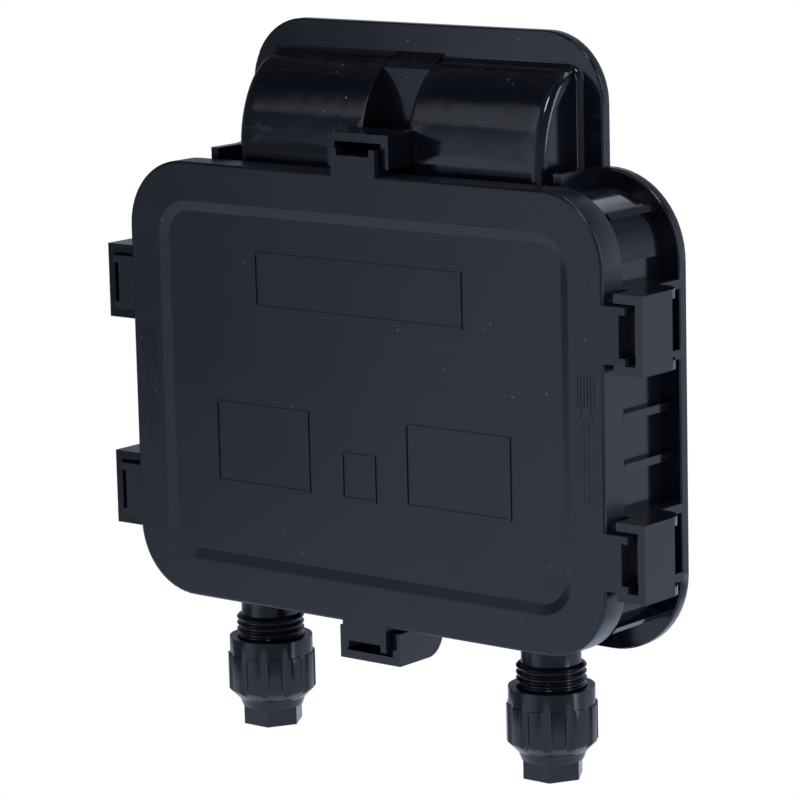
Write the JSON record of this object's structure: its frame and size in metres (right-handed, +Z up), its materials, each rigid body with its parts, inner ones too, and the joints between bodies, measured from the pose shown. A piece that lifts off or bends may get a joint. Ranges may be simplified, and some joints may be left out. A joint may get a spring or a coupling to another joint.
{
  "type": "pv junction box",
  "caption": "Flat moulded solar junction box with a bonding flange, ribbon hump, clip-on cover on latch loops and two cable glands below.",
  "frame": {"origin": "centre of the flange's flat back face, level with the middle of the cover", "axes": "+X to the box's right seen from the front, +Z up towards the hump, -Y the way the cover faces"},
  "size_m": [0.1588, 0.0286, 0.1712],
  "materials": {
    "housing_plastic": "moulded, satin to glossy black",
    "cover_plastic": "fine satin black",
    "gland_plastic": "moulded, satin black",
    "claw_plastic": "natural moulded",
    "silicone": "soft, dull",
    "tinned_copper": "tinned, bright",
    "spring_steel": "plain",
    "screw_steel": "zinc plated",
    "diode_body": "moulded epoxy"
  },
  "bodies": {
    "housing": {"base_housing": "housing_plastic", "gland_body_left": "gland_plastic", "gland_body_right": "gland_plastic", "terminal_rail_1": "tinned_copper", "ribbon_clip_1": "spring_steel", "terminal_rail_2": "tinned_copper", "ribbon_clip_2": "spring_steel", "terminal_rail_3": "tinned_copper", "ribbon_clip_3": "spring_steel", "terminal_rail_4": "tinned_copper", "ribbon_clip_4": "spring_steel", "bypass_diode_1": "diode_body", "bypass_diode_2": "diode_body", "bypass_diode_3": "diode_body", "cable_clamp_left": "spring_steel", "clamp_screw_left_1": "screw_steel", "clamp_screw_left_2": "screw_steel", "cable_clamp_right": "spring_steel", "clamp_screw_right_1": "screw_steel", "clamp_screw_right_2": "screw_steel"},
    "lid": {"cover": "cover_plastic", "cover_gasket": "silicone"},
    "claw_left": {"gland_claw_left": "claw_plastic", "gland_seal_left": "silicone"},
    "nut_left": {"gland_nut_left": "gland_plastic"},
    "claw_right": {"gland_claw_right": "claw_plastic", "gland_seal_right": "silicone"},
    "nut_right": {"gland_nut_right": "gland_plastic"}
  },
  "joints": [
    {"name": "cover_lift", "type": "slide", "parent": "housing", "child": "lid", "axis": [0, -1, 0], "range_m": [0, 0.04]},
    {"name": "gland_left_travel", "type": "slide", "parent": "housing", "child": "claw_left", "axis": [0, 0, 1], "range_m": [-0.00377, 0.00302]},
    {"name": "gland_left_turn", "type": "hinge", "parent": "claw_left", "child": "nut_left", "pos_m": [-0.0427, -0.0129, -0.0644], "axis": [0, 0, 1], "range_deg": [-900, 720]},
    {"name": "gland_right_travel", "type": "slide", "parent": "housing", "child": "claw_right", "axis": [0, 0, 1], "range_m": [-0.00377, 0.00302]},
    {"name": "gland_right_turn", "type": "hinge", "parent": "claw_right", "child": "nut_right", "pos_m": [0.0427, -0.0129, -0.0644], "axis": [0, 0, 1], "range_deg": [-900, 720]}
  ],
  "couplings": [
    {"joint": "gland_left_travel", "follows": "gland_left_turn", "m_per_rad": 0.00023873},
    {"joint": "gland_right_travel", "follows": "gland_right_turn", "m_per_rad": 0.00023873}
  ]
}
